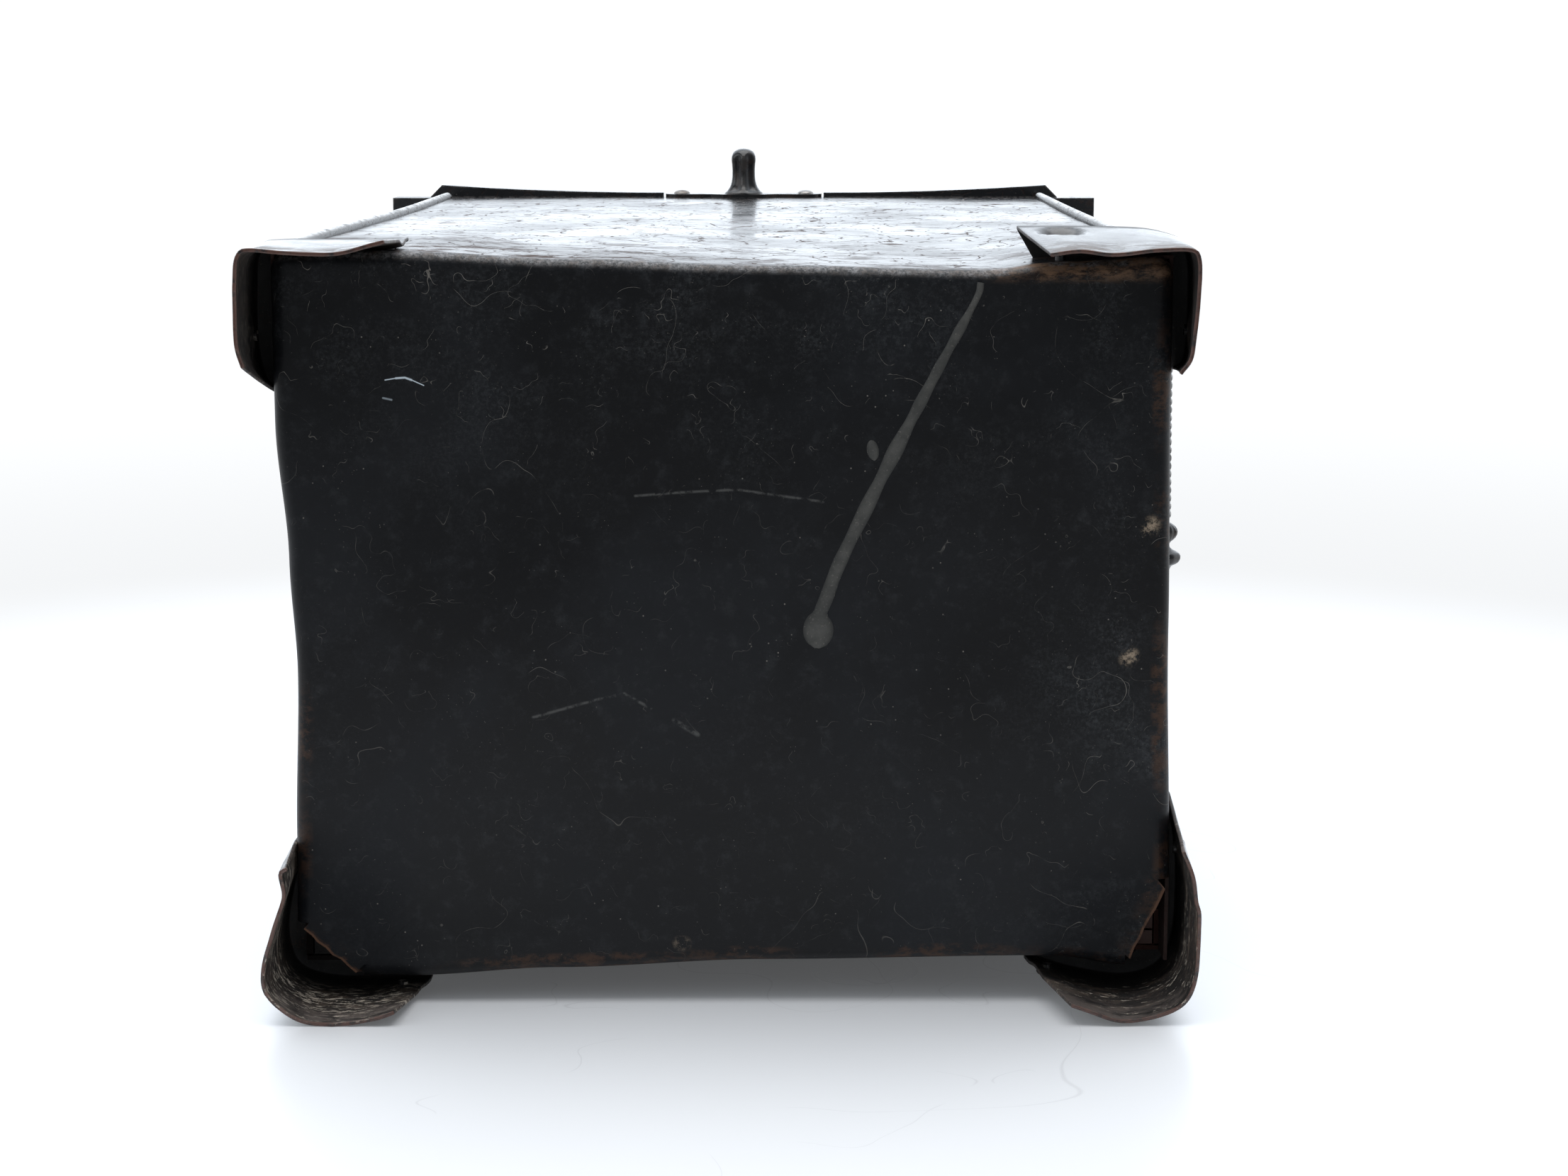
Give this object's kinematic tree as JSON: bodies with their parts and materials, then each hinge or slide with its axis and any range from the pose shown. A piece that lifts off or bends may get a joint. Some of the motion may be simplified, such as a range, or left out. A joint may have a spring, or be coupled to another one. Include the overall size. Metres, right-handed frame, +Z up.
{
  "type": "tabernacle box",
  "caption": "Lockable japanned sheet-metal tabernacle box with bracket feet, rope mouldings, a wide front frame with a hinged door, and a cast grip.",
  "frame": {"origin": "centre of the box's footprint on the surface it lies on, as pictured", "axes": "+Z up as pictured; -Y out of the door; +Y out of the footed rear panel; turned so that +Y points down, the box stands on its four feet"},
  "size_m": [0.345, 0.562, 0.279],
  "materials": {
    "japanned_steel": "glossy black lacquer, worn and dusty",
    "panel_black": "satin black paint, dusty, rust at the edges",
    "foot_iron": "black paint worn to brown rust on the rims",
    "rope_metal": "black paint rubbed bright on the strands",
    "grip_iron": "dark cast iron, rubbed, slightly rusty",
    "aged_brass": "aged brass",
    "worn_steel": "worn steel with brown tarnish",
    "inner_steel": "matt red-brown primer, rusty",
    "lining_wood": "oiled cedar"
  },
  "bodies": {
    "case": {"bottom_sheet": "japanned_steel", "ceiling_board": "lining_wood", "corner_angle_bottom_left": "inner_steel", "corner_angle_bottom_right": "inner_steel", "corner_angle_top_left": "inner_steel", "corner_angle_top_right": "inner_steel", "cresting_left": "japanned_steel", "cresting_right": "japanned_steel", "floor_board": "lining_wood", "foot_lower_left": "foot_iron", "foot_lower_right": "foot_iron", "foot_rivets": "worn_steel", "foot_upper_left": "foot_iron", "foot_upper_right": "foot_iron", "frame_back_plate": "japanned_steel", "frame_hinge_rivets": "worn_steel", "frame_leaf_lower": "worn_steel", "frame_leaf_upper": "worn_steel", "frame_rail_bottom": "japanned_steel", "frame_rail_left": "japanned_steel", "frame_rail_right": "japanned_steel", "frame_rail_top": "japanned_steel", "frame_screws": "worn_steel", "grip_plate": "grip_iron", "grip_post": "grip_iron", "grip_screws": "worn_steel", "hinge_pin_lower": "worn_steel", "hinge_pin_upper": "worn_steel", "left_side_sheet": "japanned_steel", "lining_back": "lining_wood", "lining_left": "lining_wood", "lining_right": "lining_wood", "rear_panel": "panel_black", "right_side_sheet": "japanned_steel", "rope_drop_front_left": "rope_metal", "rope_drop_front_right": "rope_metal", "rope_drop_rear_left": "rope_metal", "rope_drop_rear_right": "rope_metal", "rope_terminal_front_left": "rope_metal", "rope_terminal_front_right": "rope_metal", "rope_terminal_rear_left": "rope_metal", "rope_top_left": "rope_metal", "rope_top_right": "rope_metal", "top_sheet": "japanned_steel"},
    "door": {"door_panel": "japanned_steel", "door_inner_plate": "inner_steel", "door_field": "japanned_steel", "door_rope_border": "aged_brass", "door_cross": "aged_brass", "lock_case": "inner_steel", "escutcheon": "aged_brass", "ring_plate": "aged_brass", "door_leaf_upper": "worn_steel", "door_leaf_lower": "worn_steel", "door_hinge_rivets": "worn_steel"},
    "key": {"lock_key": "worn_steel"},
    "bolt": {"lock_bolt": "worn_steel"},
    "ring": {"door_ring": "aged_brass"}
  },
  "joints": [
    {"name": "door_hinge", "type": "hinge", "parent": "case", "child": "door", "pos_m": [-0.13175, -0.258, 0.1275], "axis": [0, 0, -1], "range_deg": [0, 110]},
    {"name": "key_turn", "type": "hinge", "parent": "door", "child": "key", "pos_m": [0.105, -0.255, 0.115], "axis": [0, 1, 0], "range_deg": [0, 90]},
    {"name": "bolt_slide", "type": "slide", "parent": "door", "child": "bolt", "axis": [1, 0, 0], "range_m": [0, 0.008]},
    {"name": "ring_swing", "type": "hinge", "parent": "door", "child": "ring", "pos_m": [0.105, -0.262, 0.172], "axis": [-1, 0, 0], "range_deg": [0, 100]}
  ],
  "couplings": [
    {"joint": "key_turn", "follows": "bolt_slide", "rad_per_m": 196.3}
  ]
}
